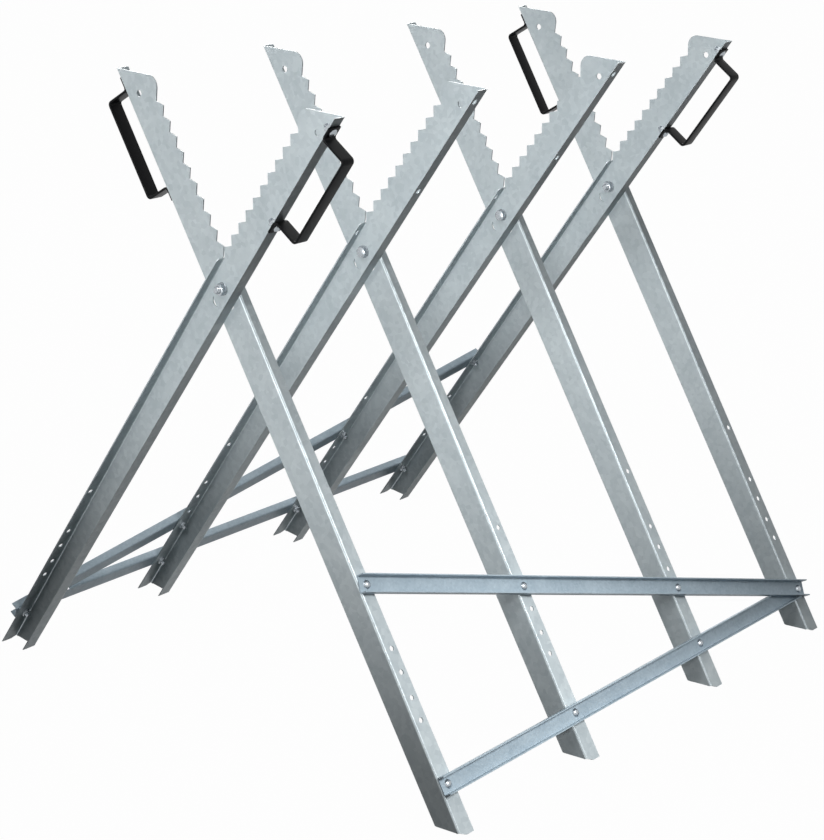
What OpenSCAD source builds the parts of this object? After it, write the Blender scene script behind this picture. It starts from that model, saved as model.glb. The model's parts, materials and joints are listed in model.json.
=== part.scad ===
// Folding saw stand: four crossed frames of folded steel channel that share one fold axis.
// X runs across the stand, Y along the log, Z up; the ground is at zero.
// A left arm has its foot on the left. The right half is the left half turned half a turn about Z.
// In an arm's own frame X runs across the arm, Z along it, and the fold axis is at zero.

/* [Stance] */
// Height of the fold axis above the ground
pivot_h = 577; // [550:1:610]
// Height of the jaw tips above the fold axis
jaw_rise = 234; // [225:1:260]
// Angle between the two arms of a frame when the stand is open
spread = 66.7; // [62:0.1:70]
// Spacing between an end frame and the frame next to it
outer_gap = 252; // [220:1:300]
// Spacing between the two middle frames
middle_gap = 284; // [220:1:320]

/* [Arms] */
// Thickness of the folded sheet
sheet = 1.5; // [1.2:0.1:2]
// Inside radius of the folds
fold_r = 1.5; // [1:0.1:2]
// Fold axis to the outer face of the leg flange, where the arms cross
leg_edge = 20.5; // [18:0.5:22]
// The same distance across the arm at the foot
foot_edge = 10; // [8:0.5:16]
// Fold axis to the outer face of the back flange
back_edge = 25; // [22:0.5:30]
// Depth of the back flange at the foot, from the back of the web
back_foot_deep = 22; // [20:0.5:26]
// Depth of the back flange at the tip of the jaw
back_tip_deep = 19; // [18:0.5:22]
// Depth of the leg flange at the foot
leg_foot_deep = 24; // [22:0.5:28]
// Depth of the leg flange below its rounded upper end
leg_top_deep = 12.5; // [11:0.5:16]
// Height by which the web stops short of the ground at the leg flange
foot_rise = 6; // [2:0.5:10]
// Depth of the slanted stretch at the bottom of the leg flange
foot_slant = 11; // [6:0.5:15]
// Radius of the rounded upper end of the leg flange
flange_nose_r = 5; // [3:0.5:8]

/* [Jaws] */
// Number of teeth on a jaw
tooth_count = 10; // [8:1:12]
// Angle between the upper face of a tooth and the arm
tooth_rake = 40.5; // [36:0.5:48]
// Angle between the lower face of a tooth and the arm
tooth_under = 37.5; // [34:0.5:46]
// Fold axis to the uppermost tooth tip, across the arm
tooth_tip = 25; // [22:0.5:30]
// Distance by which the lowest tooth tip lies further out than the uppermost
jaw_flare = 2; // [1:0.5:4]
// Top of the jaw to the uppermost tooth tip, along the arm
tooth_drop = 55.5; // [50:0.5:60]
// Fold axis to the lowest tooth tip, along the arm
tooth_low = 43.5; // [40:0.5:48]
// Radius of the round corner above the teeth
lobe_r = 14; // [12:0.5:15]
// Diameter of the hole behind the round corner
lobe_hole_d = 8; // [5:0.5:10]
// Distance of that hole from the centre of the corner, across the arm
lobe_hole_in = 19; // [17:0.5:20]
// Gap between the lowest tooth and the upper end of the leg flange
slit = 1; // [0.5:0.1:1.5]

/* [Half-moon] */
// Radius of the half-moon opening in each web
moon_r = 7.5; // [6:0.5:9]
// Fold axis to the straight side of the half-moon, along the arm
moon_down = 19; // [14:0.5:24]
// Fold axis to the middle of the half-moon, across the arm
moon_in = 1.5; // [0:0.5:5]

/* [Holes] */
// Foot to the rail holes, along the leg
rail_up = 56; // [45:1:70]
// Rail holes to the upper brace holes, along the leg
brace_rise = 249.5; // [220:0.5:280]
// Rail holes to the lower spare holes, along the leg
spare_low_rise = 108; // [100:0.5:115]
// Lower spare holes to the upper spare holes
spare_step = 32; // [28:0.5:35]
// Distance of the bar holes from the back of the web
hole_deep = 12; // [11:0.5:13]
// Distance of the handle slots from the back of the web
handle_deep = 12; // [11:0.5:12.5]
// Length of the handle slots
slot_l = 8; // [7.5:0.5:12]
// Fold axis to the small slot near the upper end of the leg flange, along the arm
nose_slot_up = 16; // [12:0.5:18]
// Length of that slot
nose_slot_l = 8; // [6:0.5:10]
// Width of that slot
nose_slot_w = 4; // [3:0.5:5]

/* [Bars] */
// Width of the rails and braces
bar_w = 23; // [20:0.5:26]
// Depth of their lips
bar_lip = 11; // [8:0.5:14]
// Thickness of their sheet
bar_sheet = 1.5; // [1.2:0.1:2]
// Inside radius of their folds
bar_fold_r = 1; // [0.6:0.1:1.5]
// Length of a bar past the centre of its last bolt
bar_over = 12; // [9:0.5:16]

/* [Handles] */
// Top of the jaw to the middle of a handle, along the arm
handle_drop = 76; // [74:1:90]
// Spacing of the two bolts of a handle
handle_span = 146; // [130:1:148]
// Distance from the flange to the outer face of the grip
handle_reach = 40; // [32:1:60]
// Width of the handle strap
strap_w = 19; // [16:0.5:20]
// Thickness of the handle strap
strap_t = 3; // [2:0.1:4]
// Inside radius of the bends of the strap
strap_bend_r = 3; // [2:0.1:5]
// Length of a handle tab past its bolt head
tab_margin = 1.5; // [1:0.1:3]

/* [Small bolts] */
// Diameter of the bar and handle bolts
bolt_d = 6; // [5:0.5:6]
// Diameter of their domed heads
bolt_head_d = 11; // [10:0.5:12]
// Height of their domed heads
bolt_head_h = 3.3; // [2.5:0.1:4]
// Width of their nuts across the flats
bolt_nut_af = 10; // [9:0.5:10]
// Height of their nuts
bolt_nut_h = 5; // [4:0.1:5.5]
// Length of thread past the nut
bolt_tail = 4; // [1:0.1:5]

/* [Fold bolts] */
// Diameter of the fold bolts
pivot_d = 8; // [6:0.5:10]
// Width of their heads and nuts across the flats
pivot_af = 13; // [12:0.5:15]
// Height of their heads
pivot_head_h = 5.3; // [4:0.1:7]
// Height of their nuts
pivot_nut_h = 6.5; // [5:0.1:8]
// Length of thread past the nut
pivot_tail = 4.5; // [2:0.1:6]
// Diameter of the washers
washer_d = 16; // [15:0.5:20]
// Thickness of the washers
washer_t = 1.6; // [1:0.1:2.5]

/* [Fits] */
// Gap between the two webs of a frame
web_gap = 0.4; // [0.3:0.05:0.6]
// Gap between the right arm and the washer over it
side_play = 0.3; // [0.3:0.05:0.5]
// Clearance of the fold bolts in the webs, on the radius
pivot_clear = 0.05; // [0.02:0.01:0.08]
// Clearance of the small bolts in their holes, on the radius
bolt_clear = 0.3; // [0.2:0.05:0.5]
// Clearance of a bolt in its nut or washer, on the radius
thread_clear = 0.1; // [0.05:0.05:0.2]
// Gap where a brace lies over the end of a rail
lap_clear = 0.2; // [0.15:0.05:0.3]
// Gap under a brace where it lies on its upper leg, and under bolt heads on a brace
seat_clear = 0.05; // [0.03:0.01:0.1]
// Spare room between a brace and the lips of the rail under it
lap_room = 3; // [2:0.5:5]
// Overrun of every cut
cut = 5; // [3:0.5:6]

/* [Hidden] */
$fn = 64;
zinc = "#c3c9cc";
zinc_bar = "#b4c0c8";
bright_zinc = "#d8dcdf";
black_coat = "#26272a";

lean = spread / 2;
top_h = pivot_h + jaw_rise;
jaw_l = jaw_rise / cos(lean);
leg_l = pivot_h / cos(lean);
rail_down = leg_l - rail_up;
brace_down = rail_down - brace_rise;
spare_low_down = rail_down - spare_low_rise;
spare_high_down = spare_low_down - spare_step;
handle_mid = jaw_l - handle_drop;
frame_y = [
    -middle_gap / 2 - outer_gap,
    -middle_gap / 2,
    middle_gap / 2,
    middle_gap / 2 + outer_gap
];
end_frames = [0, 3];

// Faces of an arm, as distances from the plane between the two webs of a frame
web_back = web_gap / 2;
web_front = web_back + sheet;
hole_y = -web_back - hole_deep;
handle_y = -web_back - handle_deep;
fold_out_r = fold_r + sheet;
// Every fold starts with a flat strip as wide as the sheet is thick, and the web ends in the middle of it
fold_lap = sheet / 2;
web_low_x = -leg_edge + fold_out_r + fold_lap;
web_high_x = back_edge - fold_out_r - fold_lap;

// The leg flange turns in towards the foot; in its own frame it runs along Z with its outer face at -leg_edge
leg_taper = atan2(leg_edge - foot_edge, leg_l);
foot_z = -(pivot_h + leg_edge * sin(lean)) / cos(lean - leg_taper);
function leg_point(x, z) = [
    (x + leg_edge) * cos(leg_taper) - z * sin(leg_taper) - leg_edge,
    (x + leg_edge) * sin(leg_taper) + z * cos(leg_taper)
];
nose_slot_y = -web_back - (fold_out_r + leg_top_deep) / 2;

// Place along an arm that lies at height h above the ground, at x across the arm
function level(x, h) = (h - pivot_h + x * sin(lean)) / cos(lean);
reach_down = -level(-leg_edge, 0) + cut;
reach_up = level(back_edge, top_h) + cut;

// Teeth: depth, and the share of the pitch that the upper face takes
tooth_top = jaw_l - tooth_drop;
tooth_pitch = (tooth_top - tooth_low) / (tooth_count - 1);
tooth_depth = tooth_pitch / (1 / tan(tooth_rake) + 1 / tan(tooth_under));
tooth_upper = tooth_depth / tan(tooth_rake);
jaw_start = tooth_low - tooth_pitch + tooth_upper;
flange_top = jaw_start - slit;

// Place across the arm of the line of the tooth tips, and of the valley above a tooth
function tip_x(z) = -tooth_tip - jaw_flare * (tooth_top - z) / (tooth_top - tooth_low);
function valley_x(z) = tip_x(z) + tooth_depth;

// The round corner touches the level top and the line of a lower face that runs up from the first valley
valley_z = tooth_top + tooth_upper;
corner_rise = (jaw_rise - lobe_r) / cos(lean) - valley_z;
corner_reach = lobe_r + valley_x(valley_z) * cos(tooth_under) - corner_rise * sin(tooth_under);
lobe_x = corner_reach / (cos(tooth_under) + tan(lean) * sin(tooth_under));
lobe_z = level(lobe_x, top_h) - lobe_r / cos(lean);

// Braces run straight from the upper hole of one end leg to the rail hole of the other
run_y = frame_y[3] - frame_y[0];
brace_slope = atan2(rail_down - brace_down, run_y);
brace_shares = [for (y = frame_y) (y - frame_y[0]) / run_y];
brace_downs = [for (s = brace_shares) rail_down + (brace_down - rail_down) * s];
brace_lap = bar_sheet + lap_clear;
brace_lifts = [for (s = brace_shares) brace_lap + (seat_clear - brace_lap) * s];
bolt_hole_d = bolt_d + 2 * bolt_clear;
// Length of rail, from the shared bolt, that each lip leaves free for the brace
lap_upper = (bar_w / 2 + bar_w / 2 / cos(brace_slope)) / tan(brace_slope) + lap_room;
lap_lower = (bar_sheet - bar_w / 2 + bar_w / 2 / cos(brace_slope)) / tan(brace_slope) + lap_room;

bolt_head_r = bolt_head_d / 2;
strap_out_r = strap_bend_r + strap_t;
handle_leg = handle_span / 2 - bolt_head_r - strap_bend_r;

// Placing of pieces

// Puts a child drawn in an arm's frame on the left arm of frame k, or along all left arms
module on_left_arm(k) {
    translate([0, frame_y[k], 0])
        on_left_side()
            children();
}

module on_left_side() {
    translate([0, 0, pivot_h])
        rotate([0, lean, 0])
            children();
}

// Puts a child drawn in the leg flange's frame in the arm's frame
module on_leg() {
    translate([-leg_edge, 0, 0])
        rotate([0, -leg_taper, 0])
            translate([leg_edge, 0, 0])
                children();
}

// Turns a left piece into its right twin; frame k becomes frame 3 - k
module right_twin() {
    rotate([0, 0, 180])
        children();
}

// Slab between the ground and the jaw tips, in an arm's frame
module level_slab() {
    side = reach_down + reach_up;
    rotate([0, -lean, 0])
        translate([-side, -side, -pivot_h])
            cube([2 * side, 2 * side, top_h]);
}

// A round hole across a flange, and a slot along it
module flange_hole(x, y, along, d) {
    translate([x - cut, y, along])
        rotate([0, 90, 0])
            cylinder(d = d, h = sheet + 2 * cut);
}

module flange_slot(x, y, along, d, long) {
    half = (long - d) / 2;
    for (end = [-half, half])
        flange_hole(x, y, along + end, d);
    translate([x - cut, y - d / 2, along - half])
        cube([sheet + 2 * cut, d, 2 * half]);
}

// Arms

// Fold and flange at one edge of the web; side is 1 at the back flange and -1 at the leg flange
module folded_edge(edge, side, deep) {
    translate([side > 0 ? edge - fold_out_r - sheet : fold_out_r - edge, -web_front])
        square(sheet);
    translate([side * (edge - fold_out_r), -web_back - fold_out_r])
        intersection() {
            difference() {
                circle(r = fold_out_r);
                circle(r = fold_r);
            }
            translate([side > 0 ? 0 : -fold_out_r, 0])
                square(fold_out_r);
        }
    translate([side > 0 ? edge - sheet : -edge, -web_back - deep])
        square([sheet, deep - fold_out_r]);
}

module web_outline() {
    polygon(concat(
        [
            leg_point(web_low_x, jaw_start),
            leg_point(web_low_x, foot_z + foot_rise),
            [web_high_x, level(web_high_x, 0)],
            [web_high_x, level(web_high_x, top_h)],
            [lobe_x - lobe_r * sin(lean), lobe_z + lobe_r * cos(lean)],
            [lobe_x, lobe_z],
            [lobe_x - lobe_r * cos(tooth_under), lobe_z - lobe_r * sin(tooth_under)]
        ],
        [
            for (i = [0:tooth_count - 1])
                for (tip = [0, 1])
                    let (z = tooth_top - i * tooth_pitch)
                        tip == 1 ? [tip_x(z), z] : [valley_x(z + tooth_upper), z + tooth_upper]
        ],
        [[valley_x(jaw_start), jaw_start]]
    ));
    translate([lobe_x, lobe_z])
        circle(r = lobe_r);
}

// Half-moon that hangs from its straight side, through the web
module half_moon() {
    translate([moon_in, cut, -moon_down])
        rotate([90, 0, 0])
            linear_extrude(back_foot_deep)
                intersection() {
                    circle(r = moon_r);
                    translate([-moon_r, -moon_r])
                        square([2 * moon_r, moon_r]);
                }
}

module web() {
    difference() {
        translate([0, -web_back, 0])
            rotate([90, 0, 0])
                linear_extrude(sheet)
                    web_outline();
        half_moon();
        translate([0, cut, 0])
            rotate([90, 0, 0])
                cylinder(d = pivot_d + 2 * pivot_clear, h = back_foot_deep);
        translate([lobe_x + lobe_hole_in, cut, lobe_z])
            rotate([90, 0, 0])
                cylinder(d = lobe_hole_d, h = back_foot_deep);
    }
}

// Cuts a child to a side view that is drawn with Y to the right and Z up
module cut_to_side(x) {
    intersection() {
        translate([x - cut, 0, 0])
            rotate([90, 0, 90])
                linear_extrude(fold_out_r + 2 * cut)
                    children(0);
        children(1);
    }
}

module back_side() {
    polygon([
        [cut, -reach_down],
        [cut, reach_up],
        [-web_back - back_tip_deep, reach_up],
        [-web_back - back_foot_deep, -reach_down]
    ]);
}

module back_flange() {
    difference() {
        intersection() {
            cut_to_side(web_high_x) {
                back_side();
                translate([0, 0, -reach_down])
                    linear_extrude(reach_down + reach_up)
                        folded_edge(back_edge, 1, back_foot_deep);
            }
            level_slab();
        }
        for (end = [-handle_span / 2, handle_span / 2])
            flange_slot(back_edge - sheet, handle_y, handle_mid + end, bolt_hole_d, slot_l);
    }
}

// Leg flange from the side: slanted end at the foot, deeper towards the foot, rounded upper end
module leg_side() {
    top_y = -web_back - leg_top_deep;
    foot_y = -web_back - leg_foot_deep;
    nose_z = flange_top - flange_nose_r;
    polygon([
        [cut, nose_z],
        [top_y, nose_z],
        [foot_y, foot_z],
        [foot_y, foot_z - cut],
        [-web_back - foot_slant, foot_z - cut],
        [-web_back - foot_slant, foot_z],
        [-web_back, foot_z + foot_rise],
        [cut, foot_z + foot_rise]
    ]);
    translate([top_y + flange_nose_r, nose_z]) {
        intersection() {
            circle(r = flange_nose_r);
            translate([-flange_nose_r, 0])
                square(flange_nose_r);
        }
        square([cut - top_y - flange_nose_r, flange_nose_r]);
    }
}

module leg_flange(slotted) {
    difference() {
        intersection() {
            on_leg()
                cut_to_side(-leg_edge) {
                    leg_side();
                    translate([0, 0, -reach_down])
                        linear_extrude(reach_down + flange_top)
                            folded_edge(leg_edge, -1, leg_foot_deep);
                }
            level_slab();
        }
        on_leg() {
            for (down = concat([spare_low_down, spare_high_down], brace_downs))
                flange_hole(-leg_edge, hole_y, -down, bolt_hole_d);
            if (slotted)
                flange_slot(-leg_edge, nose_slot_y, nose_slot_up, nose_slot_w, nose_slot_l);
        }
    }
}

// One folded arm; the arms of the middle frames have a slot in the leg flange
module arm(slotted) {
    color(zinc)
        union() {
            web();
            back_flange();
            leg_flange(slotted);
        }
}

module left_arm(k) {
    on_left_arm(k)
        arm(len(search(k, end_frames)) == 0);
}

// Rails and braces

// Channel with its lips to -X, along Y from start to end, cut back by the given lengths at its start
module bar(start, end, trim_upper, trim_lower) {
    out_r = bar_fold_r + bar_sheet;
    flat = bar_w - 2 * out_r;
    translate([-bar_sheet, start, -flat / 2])
        cube([bar_sheet, end - start, flat]);
    for (side = [1, -1])
        let (lip_start = start + (side > 0 ? trim_upper : trim_lower))
            translate([0, lip_start, side * flat / 2])
                rotate([90, 0, 0])
                    mirror([0, 0, 1])
                        linear_extrude(end - lip_start)
                            bar_lip_outline(side, out_r);
}

module bar_lip_outline(side, out_r) {
    translate([-out_r, 0])
        intersection() {
            difference() {
                circle(r = out_r);
                circle(r = bar_fold_r);
            }
            translate([0, side > 0 ? 0 : -out_r])
                square(out_r);
        }
    translate([-bar_lip, side > 0 ? bar_fold_r : -out_r])
        square([bar_lip - out_r, bar_sheet]);
}

// Hole through a bar at a bolt of frame k
module bar_hole(k, down) {
    translate([-leg_edge - bar_lip, frame_y[k] + hole_y, -down])
        rotate([0, 90, 0])
            cylinder(d = bolt_hole_d, h = bar_lip + cut);
}

// The upper side of a rail's lips faces the brace, which lies over its first end
module left_rail() {
    start = frame_y[0] + hole_y - bar_over;
    end = frame_y[3] + hole_y + bar_over;
    color(zinc_bar)
        on_left_side()
            on_leg()
                difference() {
                    translate([-leg_edge, 0, -rail_down])
                        bar(start, end, bar_over + lap_upper, bar_over + lap_lower);
                    for (k = [0:3])
                        bar_hole(k, rail_down);
                }
}

module left_brace() {
    rise = rail_down - brace_down;
    drop = brace_lap - seat_clear;
    long = norm([drop, run_y, rise]);
    color(zinc_bar)
        on_left_side()
            on_leg()
                difference() {
                    translate([-leg_edge - brace_lap, frame_y[0] + hole_y, -rail_down])
                        rotate([asin(rise / long), 0, -atan2(drop, run_y)])
                            bar(-bar_over, long + bar_over, 0, 0);
                    for (k = [0:3])
                        bar_hole(k, brace_downs[k]);
                }
}

// Handles

module half_handle_outline() {
    grip_x = handle_reach - strap_out_r;
    bend_z = handle_leg - strap_out_r;
    tab_z = handle_leg + strap_bend_r;
    // Half of the grip, then the outer bend
    translate([handle_reach - strap_t, 0])
        square([strap_t, bend_z]);
    translate([grip_x, bend_z])
        intersection() {
            difference() {
                circle(r = strap_out_r);
                circle(r = strap_bend_r);
            }
            square(strap_out_r);
        }
    // Leg, inner bend and tab
    translate([strap_out_r, handle_leg - strap_t])
        square([grip_x - strap_out_r, strap_t]);
    translate([strap_out_r, tab_z])
        intersection() {
            difference() {
                circle(r = strap_out_r);
                circle(r = strap_bend_r);
            }
            translate([-strap_out_r, -strap_out_r])
                square(strap_out_r);
        }
    translate([0, tab_z])
        square([strap_t, handle_span / 2 + bolt_head_r + tab_margin - tab_z]);
}

module handle() {
    color(black_coat)
        difference() {
            translate([back_edge, handle_y + strap_w / 2, handle_mid])
                rotate([90, 0, 0])
                    linear_extrude(strap_w) {
                        half_handle_outline();
                        mirror([0, 1])
                            half_handle_outline();
                    }
            for (end = [-handle_span / 2, handle_span / 2])
                flange_hole(back_edge, handle_y, handle_mid + end, bolt_hole_d);
        }
}

// Fasteners

// Domed bolt with its seat at zero, its shank along X and its head to -X
module domed_bolt(shank) {
    dome_r = (pow(bolt_head_r, 2) + pow(bolt_head_h, 2)) / (2 * bolt_head_h);
    rotate([0, 90, 0])
        union() {
            cylinder(d = bolt_d, h = shank);
            intersection() {
                translate([0, 0, dome_r - bolt_head_h])
                    sphere(r = dome_r);
                translate([0, 0, -bolt_head_h])
                    cylinder(r = bolt_head_r, h = bolt_head_h);
            }
        }
}

module small_nut() {
    rotate([0, 90, 0])
        difference() {
            cylinder(d = bolt_nut_af / cos(30), h = bolt_nut_h, $fn = 6);
            translate([0, 0, -cut])
                cylinder(d = bolt_d + 2 * thread_clear, h = bolt_nut_h + 2 * cut);
        }
}

// Bolts of the left bars: frame, place along the leg and thickness of what lies on the flange
bar_bolts = concat(
    [for (k = [1:3]) [k, rail_down, bar_sheet]],
    [for (k = [0:3]) [k, brace_downs[k], bar_sheet + brace_lifts[k] + seat_clear]]
);

module left_bar_bolts() {
    color(bright_zinc)
        for (b = bar_bolts)
            on_left_arm(b[0])
                on_leg()
                    translate([-leg_edge - b[2], hole_y, -b[1]])
                        domed_bolt(b[2] + sheet + bolt_nut_h + bolt_tail);
}

module left_bar_nuts() {
    color(bright_zinc)
        for (b = bar_bolts)
            on_left_arm(b[0])
                on_leg()
                    translate([sheet - leg_edge, hole_y, -b[1]])
                        small_nut();
}

module left_arm_handle_bolts() {
    color(bright_zinc)
        for (k = end_frames)
            for (end = [-handle_span / 2, handle_span / 2])
                on_left_arm(k)
                    translate([back_edge + strap_t, handle_y, handle_mid + end])
                        mirror([1, 0, 0])
                            domed_bolt(strap_t + sheet + bolt_nut_h + bolt_tail);
}

module left_arm_handle_nuts() {
    color(bright_zinc)
        for (k = end_frames)
            for (end = [-handle_span / 2, handle_span / 2])
                on_left_arm(k)
                    translate([back_edge - sheet - bolt_nut_h, handle_y, handle_mid + end])
                        small_nut();
}

// Fold bolts: seats on the left arm and over the right arm, as distances from the middle plane
seat_left = web_front + washer_t;
seat_right = web_front + side_play + washer_t;

// Draws a child along +Y at frame k: the end frames have their bolt heads at the back
module at_fold(k) {
    translate([0, frame_y[k], pivot_h])
        children();
}

function head_at_back(k) = len(search(k, end_frames)) > 0;

module hexagon(h) {
    cylinder(d = pivot_af / cos(30), h = h, $fn = 6);
}

module pivot_bolt(k) {
    back = head_at_back(k);
    head_seat = back ? seat_right : seat_left;
    far = (back ? seat_left : seat_right) + pivot_nut_h + pivot_tail;
    color(bright_zinc)
        at_fold(k)
            rotate([back ? 90 : -90, 0, 0])
                union() {
                    translate([0, 0, -head_seat - pivot_head_h])
                        hexagon(pivot_head_h);
                    translate([0, 0, -head_seat])
                        cylinder(d = pivot_d, h = head_seat + far);
                }
}

module pivot_nut(k) {
    back = head_at_back(k);
    color(bright_zinc)
        at_fold(k)
            rotate([back ? 90 : -90, 0, 0])
                translate([0, 0, back ? seat_left : seat_right])
                    difference() {
                        hexagon(pivot_nut_h);
                        translate([0, 0, -cut])
                            cylinder(d = pivot_d + 2 * thread_clear, h = pivot_nut_h + 2 * cut);
                    }
}

module washer() {
    difference() {
        cylinder(d = washer_d, h = washer_t);
        translate([0, 0, -cut])
            cylinder(d = pivot_d + 2 * thread_clear, h = washer_t + 2 * cut);
    }
}

module pivot_washers() {
    color(bright_zinc)
        for (k = [0:3])
            at_fold(k)
                rotate([90, 0, 0])
                    for (seat = [web_front, -seat_right])
                        translate([0, 0, seat])
                            washer();
}

// Nodes

left_arm(0);  // left_arm_1
left_arm(1);  // left_arm_2
left_arm(2);  // left_arm_3
left_arm(3);  // left_arm_4
right_twin() left_arm(3);  // right_arm_1
right_twin() left_arm(2);  // right_arm_2
right_twin() left_arm(1);  // right_arm_3
right_twin() left_arm(0);  // right_arm_4
pivot_bolt(0);  // pivot_bolt_1
pivot_bolt(1);  // pivot_bolt_2
pivot_bolt(2);  // pivot_bolt_3
pivot_bolt(3);  // pivot_bolt_4
pivot_nut(0);  // pivot_nut_1
pivot_nut(1);  // pivot_nut_2
pivot_nut(2);  // pivot_nut_3
pivot_nut(3);  // pivot_nut_4
left_rail();
left_brace();
right_twin() left_rail();  // right_rail
right_twin() left_brace();  // right_brace
on_left_arm(0) handle();  // handle_front_right
on_left_arm(3) handle();  // handle_back_right
right_twin() on_left_arm(3) handle();  // handle_front_left
right_twin() on_left_arm(0) handle();  // handle_back_left
pivot_washers();
left_bar_bolts();
left_bar_nuts();
right_twin() left_bar_bolts();  // right_bar_bolts
right_twin() left_bar_nuts();  // right_bar_nuts
left_arm_handle_bolts();
left_arm_handle_nuts();
right_twin() left_arm_handle_bolts();  // right_arm_handle_bolts
right_twin() left_arm_handle_nuts();  // right_arm_handle_nuts
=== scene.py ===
"""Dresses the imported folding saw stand: finishes for its sheet-steel arms and bars, detailed
fasteners and handles in place of the plain ones, and a white studio with the photograph's
camera."""

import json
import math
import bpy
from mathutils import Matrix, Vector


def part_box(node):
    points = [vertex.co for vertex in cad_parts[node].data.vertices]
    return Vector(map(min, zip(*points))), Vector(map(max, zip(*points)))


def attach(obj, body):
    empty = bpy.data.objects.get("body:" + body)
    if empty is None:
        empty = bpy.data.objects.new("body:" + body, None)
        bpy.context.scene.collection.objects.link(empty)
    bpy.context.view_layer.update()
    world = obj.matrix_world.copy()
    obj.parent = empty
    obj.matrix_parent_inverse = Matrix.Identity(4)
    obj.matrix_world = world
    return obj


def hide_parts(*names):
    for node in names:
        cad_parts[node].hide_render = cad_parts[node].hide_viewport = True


bl_info = {
    "name": "Folding saw stand",
    "version": (1, 0, 0),
    "blender": (4, 5, 0),
    "location": "3D View > Sidebar > Saw stand",
    "description": "Finishes, fasteners, handles and studio for the packed folding saw stand",
    "category": "Object",
}

import bmesh
import bpy
from bpy.props import FloatProperty, FloatVectorProperty, PointerProperty
from bpy.types import Operator, Panel, PropertyGroup
from mathutils import Matrix, Vector

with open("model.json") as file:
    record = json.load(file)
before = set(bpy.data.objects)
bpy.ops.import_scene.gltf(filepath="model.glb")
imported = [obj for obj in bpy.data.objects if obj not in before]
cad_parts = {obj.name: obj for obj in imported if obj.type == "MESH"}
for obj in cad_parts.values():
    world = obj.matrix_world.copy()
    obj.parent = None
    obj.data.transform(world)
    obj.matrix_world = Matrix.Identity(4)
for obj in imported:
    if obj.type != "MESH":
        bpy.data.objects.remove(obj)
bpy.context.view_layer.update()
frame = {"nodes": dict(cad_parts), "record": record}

FOLD_JOINT = frame["record"]["behaviour"]["joints"][0]
FOLD_HEIGHT = FOLD_JOINT["pos_m"][2]
FRAMES = (1, 2, 3, 4)
ARMS = [f"{side}_arm_{k}" for side in ("left", "right") for k in FRAMES]
BARS = ["left_rail", "left_brace", "right_rail", "right_brace"]
BODIES = {"left": "left_frame", "right": "right_frame"}
# One millimetre in metres
MM = 0.001


def linear(code):
    """Linear RGB of an sRGB hex colour."""
    parts = [int(code[i : i + 2], 16) / 255 for i in (1, 3, 5)]
    return tuple(c / 12.92 if c <= 0.04045 else ((c + 0.055) / 1.055) ** 2.4 for c in parts)


# Settings that a user would change


class SawStandSizes(PropertyGroup):
    """Sizes of the pieces that the scene models in place of plain solids."""

    lean: FloatProperty(
        name="Lean of an arm",
        description="Angle between an arm and the vertical when the stand is open",
        default=math.radians(33.35),
        subtype="ANGLE",
    )
    taper: FloatProperty(
        name="Taper of a leg",
        description="Angle by which a leg flange turns in towards the foot",
        default=math.radians(0.871),
        subtype="ANGLE",
    )
    thread_share: FloatProperty(
        name="Thread pitch share",
        description="Pitch of a thread as a share of the bolt's diameter",
        default=0.16,
    )
    bolt_d: FloatProperty(
        name="Small bolt",
        description="Diameter of the bar and handle bolts",
        default=6 * MM,
        unit="LENGTH",
    )
    bolt_head_h: FloatProperty(
        name="Small bolt head",
        description="Height of the domed heads",
        default=3.3 * MM,
        unit="LENGTH",
    )
    bolt_tail: FloatProperty(
        name="Small bolt end",
        description="Thread past a small nut",
        default=4 * MM,
        unit="LENGTH",
    )
    pivot_d: FloatProperty(
        name="Fold bolt",
        description="Diameter of the fold bolts",
        default=8 * MM,
        unit="LENGTH",
    )
    pivot_head_h: FloatProperty(
        name="Fold bolt head",
        description="Height of the fold bolts' heads",
        default=5.3 * MM,
        unit="LENGTH",
    )
    strap_t: FloatProperty(
        name="Handle strap",
        description="Thickness of the handle strap",
        default=3 * MM,
        unit="LENGTH",
    )
    strap_bend_r: FloatProperty(
        name="Strap bend",
        description="Inside radius of the bends of the strap",
        default=3 * MM,
        unit="LENGTH",
    )
    tab_l: FloatProperty(
        name="Handle tab",
        description="Straight length of a handle's tabs",
        default=12.5 * MM,
        unit="LENGTH",
    )


class SawStandColours(PropertyGroup):
    """Colours of the finishes."""

    sheet_light: FloatVectorProperty(
        name="Galvanised sheet, light",
        description="Pale crystals of the galvanised sheet",
        default=linear("#C7D0D3"),
        subtype="COLOR",
        min=0,
        max=1,
    )
    sheet_dark: FloatVectorProperty(
        name="Galvanised sheet, dark",
        description="Dull crystals of the galvanised sheet",
        default=linear("#A4AFB4"),
        subtype="COLOR",
        min=0,
        max=1,
    )
    bar_light: FloatVectorProperty(
        name="Bars, light",
        description="Pale patches of the bars' zinc",
        default=linear("#B0BFC8"),
        subtype="COLOR",
        min=0,
        max=1,
    )
    bar_dark: FloatVectorProperty(
        name="Bars, dark",
        description="Bluish patches of the bars' zinc",
        default=linear("#8E9FAB"),
        subtype="COLOR",
        min=0,
        max=1,
    )
    plate: FloatVectorProperty(
        name="Zinc plate",
        description="Bright zinc plate of the bolts",
        default=linear("#ACB2B7"),
        subtype="COLOR",
        min=0,
        max=1,
    )
    coating: FloatVectorProperty(
        name="Black coating",
        description="Black coating of the handles",
        default=linear("#0D0E10"),
        subtype="COLOR",
        min=0,
        max=1,
    )


# Finishes

# Sockets of a Mix node, which share their names
MIX_A, MIX_B, MIX_COLOUR_A, MIX_COLOUR_B = 2, 3, 6, 7
MIX_COLOUR = 2
# Weathered zinc reflects less than a clear lacquer would
ZINC_SPECULAR = 0.25
# Relief of the zinc, drawn coarser than it is so that it shows, its width in millimetres
GRAIN_WIDTH = 1.2
GRAIN_DEPTH = 0.2 * MM
GRAIN_STRENGTH = 0.12
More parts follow.
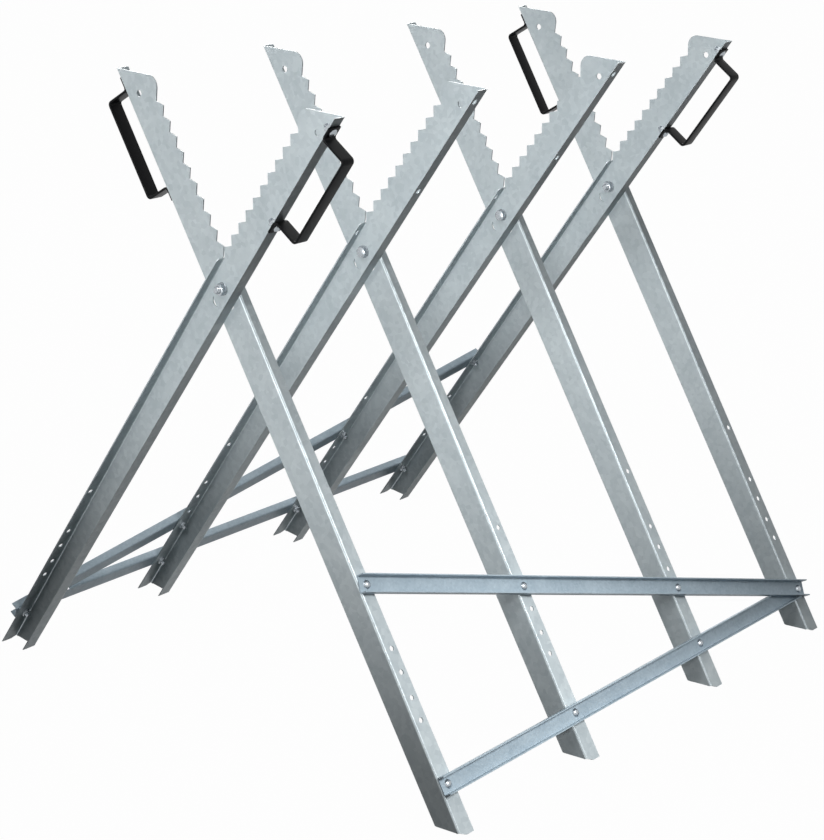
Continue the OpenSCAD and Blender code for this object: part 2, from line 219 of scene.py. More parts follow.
# Cloud values between which a patch goes from dark to light, and the crystals' share of the tone
CLOUD_RANGE = (0.2, 0.8)
CRYSTAL_SHARE = 0.5
# Bends of the sheet, given more metal and gloss than the flats as a painted sheen, so that they
# catch the lamps as a bright line
BEND_SHEEN_METALLIC = 0.65
BEND_SHEEN_ROUGHNESS = 0.26
# Arms: widths in millimetres, and roughness from the dark patches to the light ones
SHEET_CRYSTAL = 6
SHEET_CLOUD = 45
SHEET_METALLIC = 0.05
SHEET_ROUGHNESS = (0.5, 0.36)
# Bars: widths in millimetres, and roughness from the dark patches to the light ones
STRIP_CRYSTAL = 3
STRIP_CLOUD = 30
STRIP_METALLIC = 0.06
STRIP_ROUGHNESS = (0.46, 0.36)
# Bolts, nuts and washers: width of the haze in millimetres, and the least and greatest roughness
PLATE_HAZE = 3
PLATE_METALLIC = 0.85
PLATE_ROUGHNESS = (0.18, 0.36)
# Handles: widths of ripple and wear in millimetres, and the least and greatest roughness
COAT_PEEL = 1.5
COAT_PEEL_DEPTH = 0.1 * MM
COAT_PEEL_STRENGTH = 0.18
COAT_WEAR = 18
COAT_SPECULAR = 0.08
COAT_ROUGHNESS = (0.28, 0.45)


def add(tree, kind, settings=None, links=None):
    """Adds a node, sets its inputs or attributes, and links other nodes' sockets to its inputs."""
    made = tree.nodes.new(kind)
    for key, value in (settings or {}).items():
        if isinstance(key, int) or key in made.inputs:
            made.inputs[key].default_value = value
        else:
            setattr(made, key, value)
    for key, socket in (links or {}).items():
        tree.links.new(socket, made.inputs[key])
    return made


def new_material(name):
    """An empty node material with its output node."""
    made = bpy.data.materials.new(name)
    made.use_nodes = True
    made.node_tree.nodes.clear()
    return made, made.node_tree, made.node_tree.nodes.new("ShaderNodeOutputMaterial")


def finish_of(name, make):
    """The material of that name, made the first time it is asked for."""
    return bpy.data.materials.get(name) or make(name)


def per_metre(millimetres):
    """Texture scale at which a pattern's cells are this wide."""
    return 1 / (millimetres * MM)


def bend_share(tree):
    """Socket that is one in the middle of a bend between a web square to Y and its flange, and
    zero on both: four times y squared times one less y squared, for the normal's part y along Y."""
    normal = add(tree, "ShaderNodeNewGeometry").outputs["Normal"]
    facing = add(tree, "ShaderNodeSeparateXYZ", links={0: normal}).outputs["Y"]
    square = add(tree, "ShaderNodeMath", {"operation": "MULTIPLY"}, {0: facing, 1: facing})
    rest = add(tree, "ShaderNodeMath", {"operation": "SUBTRACT", 0: 1.0}, {1: square.outputs[0]})
    part = add(
        tree,
        "ShaderNodeMath",
        {"operation": "MULTIPLY"},
        {0: square.outputs[0], 1: rest.outputs[0]},
    )
    share = add(
        tree,
        "ShaderNodeMath",
        {"operation": "MULTIPLY", 1: 4.0, "use_clamp": True},
        {0: part.outputs[0]},
    )
    return share.outputs[0]


def zinc_sheet(name, light, dark, crystal_mm, cloud_mm, metallic, roughness, bend_sheen=False):
    """Zinc-coated sheet: crystals a little apart in tone and gloss, with wider cloudy patches over
    them, and on request a painted sheen along the bends, which catch the lamps as bright lines."""
    made, tree, out = new_material(name)
    place = add(tree, "ShaderNodeTexCoord").outputs["Object"]
    crystal = add(
        tree,
        "ShaderNodeTexVoronoi",
        {"Scale": per_metre(crystal_mm), "Randomness": 1.0},
        {"Vector": place},
    )
    tone = add(tree, "ShaderNodeRGBToBW", links={"Color": crystal.outputs["Color"]})
    cloud = add(
        tree,
        "ShaderNodeTexNoise",
        {"Scale": per_metre(cloud_mm), "Detail": 4.0, "Roughness": 0.55},
        {"Vector": place},
    )
    grain = add(
        tree,
        "ShaderNodeTexNoise",
        {"Scale": per_metre(GRAIN_WIDTH), "Detail": 2.0},
        {"Vector": place},
    )
    patch = add(
        tree,
        "ShaderNodeMapRange",
        {"From Min": CLOUD_RANGE[0], "From Max": CLOUD_RANGE[1]},
        {"Value": cloud.outputs["Fac"]},
    )
    share = add(
        tree,
        "ShaderNodeMix",
        {"data_type": "FLOAT", "Factor": CRYSTAL_SHARE},
        {MIX_A: patch.outputs["Result"], MIX_B: tone.outputs["Val"]},
    )
    colour = add(
        tree,
        "ShaderNodeMix",
        {"data_type": "RGBA", MIX_COLOUR_A: (*dark, 1), MIX_COLOUR_B: (*light, 1)},
        {"Factor": share.outputs["Result"]},
    )
    gloss = add(
        tree,
        "ShaderNodeMapRange",
        {"To Min": roughness[0], "To Max": roughness[1]},
        {"Value": share.outputs["Result"]},
    )
    relief = add(
        tree,
        "ShaderNodeBump",
        {"Strength": GRAIN_STRENGTH, "Distance": GRAIN_DEPTH},
        {"Height": grain.outputs["Fac"]},
    )
    shader = add(
        tree,
        "ShaderNodeBsdfPrincipled",
        {"Metallic": metallic, "Specular IOR Level": ZINC_SPECULAR},
        {
            "Base Color": colour.outputs[MIX_COLOUR],
            "Roughness": gloss.outputs["Result"],
            "Normal": relief.outputs["Normal"],
        },
    )
    if bend_sheen:
        # Painted sheen: the bends get more metal and less roughness than the flats, so the lamps
        # draw a bright line on them
        bend = bend_share(tree)
        shine = add(
            tree,
            "ShaderNodeMapRange",
            {"To Min": metallic, "To Max": BEND_SHEEN_METALLIC},
            {"Value": bend},
        )
        smooth = add(
            tree,
            "ShaderNodeMix",
            {"data_type": "FLOAT", MIX_B: BEND_SHEEN_ROUGHNESS},
            {"Factor": bend, MIX_A: gloss.outputs["Result"]},
        )
        tree.links.new(shine.outputs["Result"], shader.inputs["Metallic"])
        tree.links.new(smooth.outputs["Result"], shader.inputs["Roughness"])
    tree.links.new(shader.outputs["BSDF"], out.inputs["Surface"])
    return made


def galvanised_sheet(name):
    """Hot-dip galvanised sheet, folded after coating: a pale, slightly bluish grey with faint
    crystals, dulled by weather, with a painted sheen along each fold that shows as a bright line."""
    colours = bpy.context.scene.saw_stand_colours
    return zinc_sheet(
        name,
        colours.sheet_light,
        colours.sheet_dark,
        SHEET_CRYSTAL,
        SHEET_CLOUD,
        SHEET_METALLIC,
        SHEET_ROUGHNESS,
        bend_sheen=True,
    )


def zinc_strip(name):
    """Electro-galvanised strip, roll formed: finer and bluer than the arms, with a satin sheen."""
    colours = bpy.context.scene.saw_stand_colours
    return zinc_sheet(
        name,
        colours.bar_light,
        colours.bar_dark,
        STRIP_CRYSTAL,
        STRIP_CLOUD,
        STRIP_METALLIC,
        STRIP_ROUGHNESS,
    )


def bright_zinc_plate(name):
    """Bright zinc plate on cold-headed steel: smooth grey metal with small sharp highlights."""
    made, tree, out = new_material(name)
    plate = bpy.context.scene.saw_stand_colours.plate
    place = add(tree, "ShaderNodeTexCoord").outputs["Object"]
    haze = add(
        tree,
        "ShaderNodeTexNoise",
        {"Scale": per_metre(PLATE_HAZE), "Detail": 3.0},
        {"Vector": place},
    )
    gloss = add(
        tree,
        "ShaderNodeMapRange",
        {"To Min": PLATE_ROUGHNESS[0], "To Max": PLATE_ROUGHNESS[1]},
        {"Value": haze.outputs["Fac"]},
    )
    shader = add(
        tree,
        "ShaderNodeBsdfPrincipled",
        {"Metallic": PLATE_METALLIC, "Base Color": (*plate, 1)},
        {"Roughness": gloss.outputs["Result"]},
    )
    tree.links.new(shader.outputs["BSDF"], out.inputs["Surface"])
    return made


def black_powder_coat(name):
    """Black powder coat on steel strap: deep black, half gloss, with a fine orange-peel ripple."""
    made, tree, out = new_material(name)
    coating = bpy.context.scene.saw_stand_colours.coating
    place = add(tree, "ShaderNodeTexCoord").outputs["Object"]
    peel = add(
        tree,
        "ShaderNodeTexNoise",
        {"Scale": per_metre(COAT_PEEL), "Detail": 2.0},
        {"Vector": place},
    )
    wear = add(
        tree,
        "ShaderNodeTexNoise",
        {"Scale": per_metre(COAT_WEAR), "Detail": 4.0},
        {"Vector": place},
    )
    gloss = add(
        tree,
        "ShaderNodeMapRange",
        {"To Min": COAT_ROUGHNESS[0], "To Max": COAT_ROUGHNESS[1]},
        {"Value": wear.outputs["Fac"]},
    )
    relief = add(
        tree,
        "ShaderNodeBump",
        {"Strength": COAT_PEEL_STRENGTH, "Distance": COAT_PEEL_DEPTH},
        {"Height": peel.outputs["Fac"]},
    )
    shader = add(
        tree,
        "ShaderNodeBsdfPrincipled",
        {"Base Color": (*coating, 1), "Specular IOR Level": COAT_SPECULAR},
        {"Roughness": gloss.outputs["Result"], "Normal": relief.outputs["Normal"]},
    )
    tree.links.new(shader.outputs["BSDF"], out.inputs["Surface"])
    return made


def coat(node, material):
    """Gives a CAD node's object one material."""
    slots = frame["nodes"][node].data.materials
    slots.clear()
    slots.append(material)


# Places and meshes

# Distance under which the corners of a solid's faces are one point
WELD_DISTANCE = 0.01 * MM
# Angle from which an edge between two faces is sharp
SHARP_ANGLE = math.radians(32)
# Hexagons: points in a ring, slope of the chamfer, and its circle as a share of the width
HEX_TURNS = 72
CHAMFER = math.tan(math.radians(30))
CIRCLE_SHARE = 0.475
# Threads: depth as a share of the pitch, slope of the point, and rings
THREAD_DEPTH_SHARE = 0.6
POINT_SLOPE = 0.7
RINGS_PER_PITCH = 6
LEAST_RINGS = 4


def arm_place(side, taper=0.0):
    """Matrix from the frame of an arm, X across and Z along it, to the stand; all arms of a side
    share it apart from their place along Y. With the taper it is the frame of the leg flange."""
    lean = bpy.context.scene.saw_stand_sizes.lean - taper
    left = Matrix.Translation((0, 0, FOLD_HEIGHT)) @ Matrix.Rotation(lean, 4, "Y")
    return left if side == "left" else Matrix.Rotation(math.pi, 4, "Z") @ left


def solids_of(node, place):
    """Lowest and highest corner of each separate solid of a CAD node, in the frame that place
    maps from."""
    mesh = bmesh.new()
    mesh.from_mesh(frame["nodes"][node].data)
    bmesh.ops.remove_doubles(mesh, verts=mesh.verts, dist=WELD_DISTANCE)
    back = place.inverted()
    found = []
    left = set(mesh.verts)
    while left:
        group, queue = [], [left.pop()]
        while queue:
            vert = queue.pop()
            group.append(back @ vert.co)
            near = {e.other_vert(vert) for e in vert.link_edges} & left
            left -= near
            queue.extend(near)
        found.append(tuple(Vector(f(p[i] for p in group) for i in range(3)) for f in (min, max)))
    mesh.free()
    return sorted(found, key=lambda box: tuple(box[0]))


def skin(mesh, rings, capped=True):
    """Joins rings of as many points with quads, and then caps the ends or joins last to first."""
    made = [[mesh.verts.new(p) for p in ring] for ring in rings]
    for low, high in zip(made, made[1:]):
        for i in range(len(low)):
            j = (i + 1) % len(low)
            mesh.faces.new((low[i], low[j], high[j], high[i]))
    if capped:
        mesh.faces.new(list(reversed(made[0])))
        mesh.faces.new(made[-1])
    else:
        for i in range(len(made[0])):
            j = (i + 1) % len(made[0])
            mesh.faces.new((made[-1][i], made[-1][j], made[0][j], made[0][i]))


def ring(radius, height, turns):
    """Circle of points about Z; radius is a number or a function of the angle, and so is height."""
    made = []
    for i in range(turns):
        angle = 2 * math.pi * i / turns
        r = radius(angle) if callable(radius) else radius
        z = height(angle) if callable(height) else height
        made.append(Vector((r * math.cos(angle), r * math.sin(angle), z)))
    return made


def hex_side(flats, low, high, chamfer_low, chamfer_high):
    """Rings of a hexagon's side from low to high, cut to a circle at each end that is chamfered."""
    sector = math.pi / 3
    circle = CIRCLE_SHARE * flats

    def radius(angle):
        return flats / 2 / math.cos((angle % sector) - sector / 2)

    def cut(angle):
        return (radius(angle) - circle) * CHAMFER

    rings = []
    if chamfer_low:
        rings.append(ring(circle, low, HEX_TURNS))
        rings.append(ring(radius, lambda angle: low + cut(angle), HEX_TURNS))
    else:
        rings.append(ring(radius, low, HEX_TURNS))
    if chamfer_high:
        rings.append(ring(radius, lambda angle: high - cut(angle), HEX_TURNS))
        rings.append(ring(circle, high, HEX_TURNS))
    else:
        rings.append(ring(radius, high, HEX_TURNS))
    return rings


def thread_rings(diameter, low, high, turns):
    """Rings of a right-hand thread from low to high, ending in a small point chamfer."""
    pitch = diameter * bpy.context.scene.saw_stand_sizes.thread_share
    depth = THREAD_DEPTH_SHARE * pitch
    outer = diameter / 2
    steps = max(LEAST_RINGS, round((high - low) / pitch * RINGS_PER_PITCH))
    rings = []
    for s in range(steps + 1):
        height = low + (high - low) * s / steps
        end = max(0.0, height - (high - pitch))

        def radius(angle, height=height, end=end):
            wave = abs(((height / pitch - angle / (2 * math.pi)) % 1) * 2 - 1)
            return min(outer - depth * wave, outer - POINT_SLOPE * end)

        rings.append(ring(radius, height, turns))
    return rings


def piece(name, meshes, material, body, replaced):
    """Joins bmeshes at their places into one object, which rides in place of a CAD node."""
    joined = bmesh.new()
    for mesh, place in meshes:
        mesh.transform(place)
        data = bpy.data.meshes.new("part")
        mesh.to_mesh(data)
        mesh.free()
        joined.from_mesh(data)
        bpy.data.meshes.remove(data)
    bmesh.ops.recalc_face_normals(joined, faces=joined.faces)
    data = bpy.data.meshes.new(name)
    joined.to_mesh(data)
    joined.free()
    for face in data.polygons:
        face.use_smooth = True
    data.set_sharp_from_angle(angle=SHARP_ANGLE)
    data.materials.append(material)
    made = bpy.data.objects.new(name, data)
    bpy.context.scene.collection.objects.link(made)
    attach(made, body)
    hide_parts(replaced)


# Arms and bars


class SAW_STAND_OT_arms(Operator):
    """Gives the eight folded arms their galvanised finish"""

    bl_idname = "saw_stand.arms"
    bl_label = "Arms"

    def execute(self, context):
        for node in ARMS:
            coat(node, finish_of("galvanised_sheet", galvanised_sheet))
        return {"FINISHED"}


class SAW_STAND_OT_bars(Operator):
    """Gives the rails and braces their zinc finish"""

    bl_idname = "saw_stand.bars"
    bl_label = "Rails and braces"

    def execute(self, context):
        for node in BARS:
            coat(node, finish_of("zinc_strip", zinc_strip))
        return {"FINISHED"}


# Handles

# Each handle and the side whose arm carries it
HANDLES = {
    "handle_front_right": "left",
    "handle_back_right": "left",
    "handle_front_left": "right",
    "handle_back_left": "right",
}
# Steps in a bend of the strap and in each of its rounded edges
BEND_STEPS = 8
EDGE_STEPS = 4
# Radius of the edges as a share of the strap's thickness
EDGE_SHARE = 0.3


def strap_path(sizes, low, high):
    """Middle line of a handle strap in the plane across and along the arm, with the way it faces
    at each point."""
    half = sizes.strap_t / 2
    turn = sizes.strap_bend_r + half
    foot, grip = low.x + half, high.x - half
    tab_end = (high.z - low.z) / 2
    leg = tab_end - sizes.tab_l - turn
    middle = (high.z + low.z) / 2
    upper = []

    def bend(centre, start, sweep):
        for i in range(BEND_STEPS + 1):
            angle = start + sweep * i / BEND_STEPS
            x = centre[0] + turn * math.cos(angle)
            z = centre[1] + turn * math.sin(angle)
            upper.append((x, z, angle, sweep))

    upper.append((foot, tab_end, math.pi, math.pi / 2))
    bend((foot + turn, leg + turn), math.pi, math.pi / 2)
    bend((grip - turn, leg - turn), math.pi / 2, -math.pi / 2)
    points = []
    for x, z, angle, sweep in upper:
        way = 1 if sweep < 0 else -1
        points.append((x, middle + z, way * math.cos(angle), way * math.sin(angle)))
    # The lower half mirrors the upper one
    for x, z, across, along in reversed(points[:]):
        points.append((x, 2 * middle - z, across, -along))
    return points


def strap_section(width, thickness, edge_r):
    """Rounded outline of the strap, as offsets across its width and through its thickness."""
    points = []
    for corner, (sy, st) in enumerate(((1, 1), (-1, 1), (-1, -1), (1, -1))):
        for i in range(EDGE_STEPS + 1):
            angle = math.pi / 2 * (corner + i / EDGE_STEPS)
            y = sy * (width / 2 - edge_r) + edge_r * math.cos(angle)
            t = st * (thickness / 2 - edge_r) + edge_r * math.sin(angle)
            points.append((y, t))
    return points


class SAW_STAND_OT_handles(Operator):
    """Bends the four strap handles with soft edges"""

    bl_idname = "saw_stand.handles"
    bl_label = "Handles"

    def execute(self, context):
        sizes = context.scene.saw_stand_sizes
        for node, side in HANDLES.items():
            place = arm_place(side)
            ((low, high),) = solids_of(node, place)
            middle_y = (low.y + high.y) / 2
            edge_r = EDGE_SHARE * sizes.strap_t
            outline = strap_section(high.y - low.y, sizes.strap_t, edge_r)
            rings = [
                [Vector((x + t * across, middle_y + y, z + t * along)) for y, t in outline]
                for x, z, across, along in strap_path(sizes, low, high)
            ]
            mesh = bmesh.new()
            skin(mesh, rings)
            material = finish_of("black_powder_coat", black_powder_coat)
            piece(f"strap_{node}", [(mesh, place)], material, BODIES[side], node)
        return {"FINISHED"}


# Fasteners

# Domed heads: points in a ring, rings up the dome, and where the flat at its top ends
ROUND_TURNS = 32
DOME_STEPS = 8
DOME_START_SHARE = 0.04
# Upright rim as a share of the head's height, and the rounding of its foot as a share of the rim
RIM_SHARE = 0.15
RIM_ROUND_SHARE = 0.3
# Length of thread as a share of what stands out of the nut
THREAD_SHOWN_SHARE = 1.6
# Nuts and washers: room around the bolt, countersink and rolled edge
NUT_CLEARANCE = 0.08 * MM
SINK_SHARE = 0.08
WASHER_CLEARANCE = 0.1 * MM
ROLL_SHARE = 0.15
# Small fasteners and the side that they are on
BAR_BOLTS = {"left_bar_bolts": "left", "right_bar_bolts": "right"}
BAR_NUTS = {"left_bar_nuts": "left", "right_bar_nuts": "right"}
HANDLE_BOLTS = {"left_arm_handle_bolts": "left", "right_arm_handle_bolts": "right"}
HANDLE_NUTS = {"left_arm_handle_nuts": "left", "right_arm_handle_nuts": "right"}


def domed_bolt(sizes, head_r, length, tail):
    """Domed bolt along Z with its seat at zero, its head below and a threaded end above."""
    rim = RIM_SHARE * sizes.bolt_head_h
    rounding = RIM_ROUND_SHARE * rim
    rise = sizes.bolt_head_h - rim
    dome_r = (head_r**2 + rise**2) / (2 * rise)
    top = math.asin(min(1, head_r / dome_r))
    rings = []
    for i in range(DOME_STEPS + 1):
        angle = top * (DOME_START_SHARE + (1 - DOME_START_SHARE) * i / DOME_STEPS)
        height = dome_r * (1 - math.cos(angle)) - sizes.bolt_head_h
        rings.append(ring(dome_r * math.sin(angle), height, ROUND_TURNS))
    rings.append(ring(head_r, -rounding, ROUND_TURNS))
    rings.append(ring(head_r - rounding, 0, ROUND_TURNS))
    rings.append(ring(sizes.bolt_d / 2, 0, ROUND_TURNS))
    rings += thread_rings(sizes.bolt_d, length - tail, length, ROUND_TURNS)
    mesh = bmesh.new()
    skin(mesh, rings)
    return mesh


def hex_bolt(diameter, flats, head_h, length, tail):
    """Hexagon bolt along Z with its seat at zero, its head below and a threaded end above."""
    rings = hex_side(flats, -head_h, 0, chamfer_low=True, chamfer_high=False)
    rings.append(ring(diameter / 2, 0, HEX_TURNS))
    rings += thread_rings(diameter, length - tail, length, HEX_TURNS)
    mesh = bmesh.new()
    skin(mesh, rings)
    return mesh


def hex_nut(diameter, flats, height):
    """Hexagon nut along Z from zero, chamfered on both sides, with a countersunk bore."""
    bore = diameter / 2 + NUT_CLEARANCE
    sink = SINK_SHARE * diameter
    rings = hex_side(flats, 0, height, chamfer_low=True, chamfer_high=True)
    rings.append(ring(bore + sink, height, HEX_TURNS))
    rings.append(ring(bore, height - sink, HEX_TURNS))
    rings.append(ring(bore, sink, HEX_TURNS))
    rings.append(ring(bore + sink, 0, HEX_TURNS))
    mesh = bmesh.new()
    skin(mesh, rings, capped=False)
    return mesh


def flat_washer(outer_r, inner_r, thickness):
    """Stamped washer along Z from zero, with slightly rolled edges."""
    roll = ROLL_SHARE * thickness
    rings = [
        ring(inner_r, 0, HEX_TURNS),
        ring(outer_r - roll, 0, HEX_TURNS),
        ring(outer_r, roll, HEX_TURNS),
        ring(outer_r, thickness - roll, HEX_TURNS),
        ring(outer_r - roll, thickness, HEX_TURNS),
        ring(inner_r, thickness, HEX_TURNS),
    ]
    mesh = bmesh.new()
    skin(mesh, rings, capped=False)
    return mesh


class SAW_STAND_OT_fold_bolts(Operator):
    """Makes the fold bolts with chamfered heads and threads, their nuts and washers"""

    bl_idname = "saw_stand.fold_bolts"
    bl_label = "Fold bolts"

    def execute(self, context):
        sizes = context.scene.saw_stand_sizes
        material = finish_of("bright_zinc_plate", bright_zinc_plate)
        body = BODIES["left"]
        to_front = Matrix.Rotation(math.pi / 2, 4, "X")
        to_back = Matrix.Rotation(-math.pi / 2, 4, "X")
        for k in FRAMES:
            low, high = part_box(f"pivot_bolt_{k}")
            nut_low, nut_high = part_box(f"pivot_nut_{k}")
            flats = high.z - low.z
            nut_in_front = nut_low.y + nut_high.y < low.y + high.y
            turn = to_front if nut_in_front else to_back
            seat = high.y - sizes.pivot_head_h if nut_in_front else low.y + sizes.pivot_head_h
            length = high.y - low.y - sizes.pivot_head_h
            end = nut_low.y - low.y if nut_in_front else high.y - nut_high.y
            tail = THREAD_SHOWN_SHARE * end
            bolt = hex_bolt(sizes.pivot_d, flats, sizes.pivot_head_h, length, tail)
            place = Matrix.Translation((0, seat, FOLD_HEIGHT)) @ turn
            piece(f"fold_bolt_{k}", [(bolt, place)], material, body, f"pivot_bolt_{k}")
            nut = hex_nut(sizes.pivot_d, flats, nut_high.y - nut_low.y)
            place = Matrix.Translation((0, nut_high.y, FOLD_HEIGHT)) @ to_front
            piece(f"fold_nut_{k}", [(nut, place)], material, body, f"pivot_nut_{k}")
        washers = []
        inner_r = sizes.pivot_d / 2 + WASHER_CLEARANCE
        for low, high in solids_of("pivot_washers", Matrix.Identity(4)):
            washer = flat_washer((high.x - low.x) / 2, inner_r, high.y - low.y)
            washers.append((washer, Matrix.Translation((0, high.y, FOLD_HEIGHT)) @ to_front))
        piece("fold_washers", washers, material, body, "pivot_washers")
        return {"FINISHED"}


class SAW_STAND_OT_small_bolts(Operator):
    """Makes the domed bolts of the bars and handles with threaded ends, and their nuts"""

    bl_idname = "saw_stand.small_bolts"
    bl_label = "Bar and handle bolts"

    def execute(self, context):
        sizes = context.scene.saw_stand_sizes
        material = finish_of("bright_zinc_plate", bright_zinc_plate)
        inward = Matrix.Rotation(math.pi / 2, 4, "Y")
        outward = Matrix.Rotation(-math.pi / 2, 4, "Y")
        for node, side in {**BAR_BOLTS, **HANDLE_BOLTS}.items():
            on_bar = node in BAR_BOLTS
            turn = inward if on_bar else outward
            seat_place = arm_place(side, sizes.taper if on_bar else 0.0)
            tail = THREAD_SHOWN_SHARE * sizes.bolt_tail
            bolts = []
            for low, high in solids_of(node, seat_place):
                middle = (low + high) / 2
                seat = low.x + sizes.bolt_head_h if on_bar else high.x - sizes.bolt_head_h
                length = high.x - low.x - sizes.bolt_head_h
                bolt = domed_bolt(sizes, (high.y - low.y) / 2, length, tail)
                place = seat_place @ Matrix.Translation((seat, middle.y, middle.z)) @ turn
                bolts.append((bolt, place))
            piece(f"domed_{node}", bolts, material, BODIES[side], node)
        for node, side in {**BAR_NUTS, **HANDLE_NUTS}.items():
            seat_place = arm_place(side, sizes.taper if node in BAR_NUTS else 0.0)
            nuts = []
            for low, high in solids_of(node, seat_place):
                middle = (low + high) / 2
                nut = hex_nut(sizes.bolt_d, high.y - low.y, high.x - low.x)
                place = seat_place @ Matrix.Translation((low.x, middle.y, middle.z)) @ inward
                nuts.append((nut, place))
            piece(f"hex_{node}", nuts, material, BODIES[side], node)
        return {"FINISHED"}


# Studio

# Camera fitted to the jaw tips, fold bolts and feet in the photograph: place in metres, turns,
# lens and sensor in millimetres, and the farthest distance that it sees
CAMERA_PLACE = (1.7482, -2.1752, 1.2942)
CAMERA_AZIMUTH = math.radians(39.241)
CAMERA_ELEVATION = math.radians(19.322)
CAMERA_ROLL = math.radians(2.294)
CAMERA_LENS = 95.95
CAMERA_SENSOR = 36.0
CAMERA_FAR = 100
# Floor: half its side, the share of plain white that is seen of it, and how much light it returns
FLOOR_HALF = 14.0
FLOOR_WHITE = 0.985
FLOOR_MATT = 0.05
# Strength of the world's light on things, and the soft share of a spot's edge
AMBIENT = 0.03
SPOT_BLEND = 0.32
# Lamps: name, kind, place, point aimed at, width, watts, spread in degrees
LAMPS = (
    ("front_fill", "SPOT", (-0.6, -5.6, 0.3), (0.16, 0.0, 0.86), 0.4, 700.0, 14.6),
    ("front_high_box", "AREA", (0.55, -1.9, 2.35), (0.1, 0.0, 0.85), 0.7, 2.0, 44.0),
    ("right_high_box", "AREA", (1.5, -0.42, 1.3), (0.37, -0.22, 0.1), 0.5, 2.1, 43.0),
    ("overhead_box", "AREA", (-0.2, 0.6, 2.9), (0.0, 0.0, 0.5), 2.2, 8.0, 120.0),
    ("back_left_box", "AREA", (-2.3, 2.2, 1.8), (0.0, 0.0, 0.4), 1.6, 45.0, 120.0),
)


def seen_share(tree, share):
    """Socket that is this share for what the eye, metal or glass sees, and zero for light that
    falls on things."""
    ray = add(tree, "ShaderNodeLightPath").outputs
    seen = add(
        tree,
        "ShaderNodeMath",
        {"operation": "MAXIMUM"},
        {0: ray["Is Camera Ray"], 1: ray["Is Glossy Ray"]},
    )
    seen = add(
        tree,
        "ShaderNodeMath",
        {"operation": "MAXIMUM"},
        {0: seen.outputs[0], 1: ray["Is Transmission Ray"]},
    )
    part = add(tree, "ShaderNodeMath", {"operation": "MULTIPLY", 1: share}, {0: seen.outputs[0]})
    return part.outputs[0]


def white_paper(name):
    """Matt white paper: plain white to the eye and in the metal, with the stand's faint shadow."""
    made, tree, out = new_material(name)
    matt = add(tree, "ShaderNodeBsdfDiffuse", {"Color": (FLOOR_MATT, FLOOR_MATT, FLOOR_MATT, 1)})
    white = add(tree, "ShaderNodeEmission", {"Color": (1, 1, 1, 1), "Strength": 1.0})
    mixed = add(
        tree,
        "ShaderNodeMixShader",
        links={0: seen_share(tree, FLOOR_WHITE), 1: matt.outputs[0], 2: white.outputs[0]},
    )
    tree.links.new(mixed.outputs[0], out.inputs["Surface"])
    return made


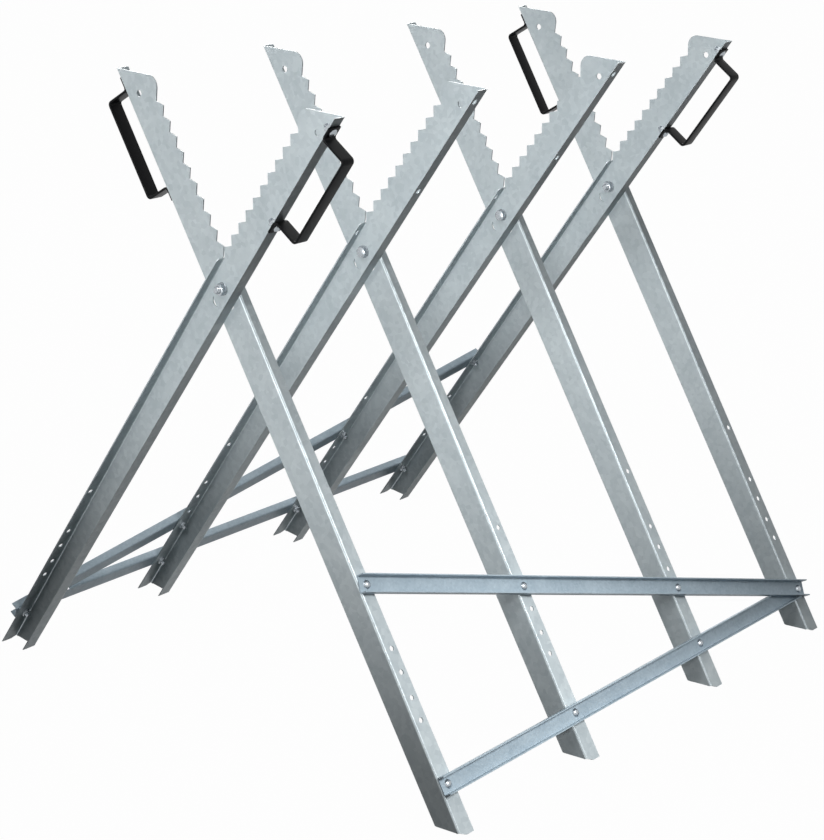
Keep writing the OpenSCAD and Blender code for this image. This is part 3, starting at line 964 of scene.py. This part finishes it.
class SAW_STAND_OT_studio(Operator):
    """Sets the white floor, the soft lamps and the photograph's camera"""

    bl_idname = "saw_stand.studio"
    bl_label = "Studio"

    def execute(self, context):
        scene = context.scene
        scene.view_settings.view_transform = "Standard"
        data = bpy.data.meshes.new("floor")
        ways = ((-1, -1), (1, -1), (1, 1), (-1, 1))
        corners = [(FLOOR_HALF * x, FLOOR_HALF * y, 0) for x, y in ways]
        data.from_pydata(corners, [], [(0, 1, 2, 3)])
        data.materials.append(finish_of("white_paper", white_paper))
        floor = bpy.data.objects.new("floor", data)
        scene.collection.objects.link(floor)
        self.light(scene)
        self.look(scene)
        return {"FINISHED"}

    def light(self, scene):
        """Sets the white world and the lamps."""
        world = bpy.data.worlds.new("studio")
        world.use_nodes = True
        tree = world.node_tree
        tree.nodes.clear()
        strength = add(
            tree,
            "ShaderNodeMapRange",
            {"To Min": AMBIENT, "To Max": 1.0},
            {"Value": seen_share(tree, 1.0)},
        )
        sky = add(
            tree,
            "ShaderNodeBackground",
            {"Color": (1, 1, 1, 1)},
            {"Strength": strength.outputs["Result"]},
        )
        out = add(tree, "ShaderNodeOutputWorld", links={"Surface": sky.outputs[0]})
        out.is_active_output = True
        scene.world = world
        for name, kind, place, aim, width, watts, spread in LAMPS:
            lamp = bpy.data.lights.new(name, kind)
            lamp.energy = watts
            if kind == "SPOT":
                lamp.shadow_soft_size = width / 2
                lamp.spot_size = math.radians(spread)
                lamp.spot_blend = SPOT_BLEND
                # The fill stands for a wide wall of light, so no frame shades the next from it
                lamp.use_shadow = False
            else:
                lamp.size = width
                lamp.spread = math.radians(spread)
            made = bpy.data.objects.new(name, lamp)
            made.location = place
            way = Vector(aim) - Vector(place)
            made.rotation_euler = way.to_track_quat("-Z", "Y").to_euler()
            scene.collection.objects.link(made)

    def look(self, scene):
        """Sets the photograph's camera."""
        azimuth, elevation, roll = CAMERA_AZIMUTH, CAMERA_ELEVATION, CAMERA_ROLL
        right = Vector((math.cos(azimuth), math.sin(azimuth), 0))
        back = Vector(
            (
                math.sin(azimuth) * math.cos(elevation),
                -math.cos(azimuth) * math.cos(elevation),
                math.sin(elevation),
            )
        )
        up = back.cross(right)
        across = math.cos(roll) * right + math.sin(roll) * up
        above = math.cos(roll) * up - math.sin(roll) * right
        turned = Matrix((across, above, back)).transposed().to_4x4()
        data = bpy.data.cameras.new("photograph")
        data.sensor_fit = "HORIZONTAL"
        data.sensor_width = CAMERA_SENSOR
        data.lens = CAMERA_LENS
        data.clip_end = CAMERA_FAR
        camera = bpy.data.objects.new("photograph", data)
        camera.matrix_world = Matrix.Translation(CAMERA_PLACE) @ turned
        scene.collection.objects.link(camera)
        scene.camera = camera


class SAW_STAND_PT_sidebar(Panel):
    """Lists the stand's pieces and settings"""

    bl_label = "Saw stand"
    bl_space_type = "VIEW_3D"
    bl_region_type = "UI"
    bl_category = "Saw stand"

    def draw(self, context):
        column = self.layout.column(align=True)
        for operator in OPERATORS:
            column.operator(operator.bl_idname)
        for group in (context.scene.saw_stand_sizes, context.scene.saw_stand_colours):
            box = self.layout.box()
            for key in group.bl_rna.properties.keys():
                if key not in ("rna_type", "name"):
                    box.prop(group, key)


OPERATORS = (
    SAW_STAND_OT_arms,
    SAW_STAND_OT_bars,
    SAW_STAND_OT_handles,
    SAW_STAND_OT_fold_bolts,
    SAW_STAND_OT_small_bolts,
    SAW_STAND_OT_studio,
)
CLASSES = (SawStandSizes, SawStandColours, *OPERATORS, SAW_STAND_PT_sidebar)


def register():
    for made in CLASSES:
        bpy.utils.register_class(made)
    bpy.types.Scene.saw_stand_sizes = PointerProperty(type=SawStandSizes)
    bpy.types.Scene.saw_stand_colours = PointerProperty(type=SawStandColours)


def unregister():
    del bpy.types.Scene.saw_stand_colours
    del bpy.types.Scene.saw_stand_sizes
    for made in reversed(CLASSES):
        bpy.utils.unregister_class(made)


def main():
    """Registers the classes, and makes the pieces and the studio."""
    register()
    bpy.ops.saw_stand.arms()
    bpy.ops.saw_stand.bars()
    bpy.ops.saw_stand.handles()
    bpy.ops.saw_stand.fold_bolts()
    bpy.ops.saw_stand.small_bolts()
    bpy.ops.saw_stand.studio()


if __name__ == "__main__":
    main()
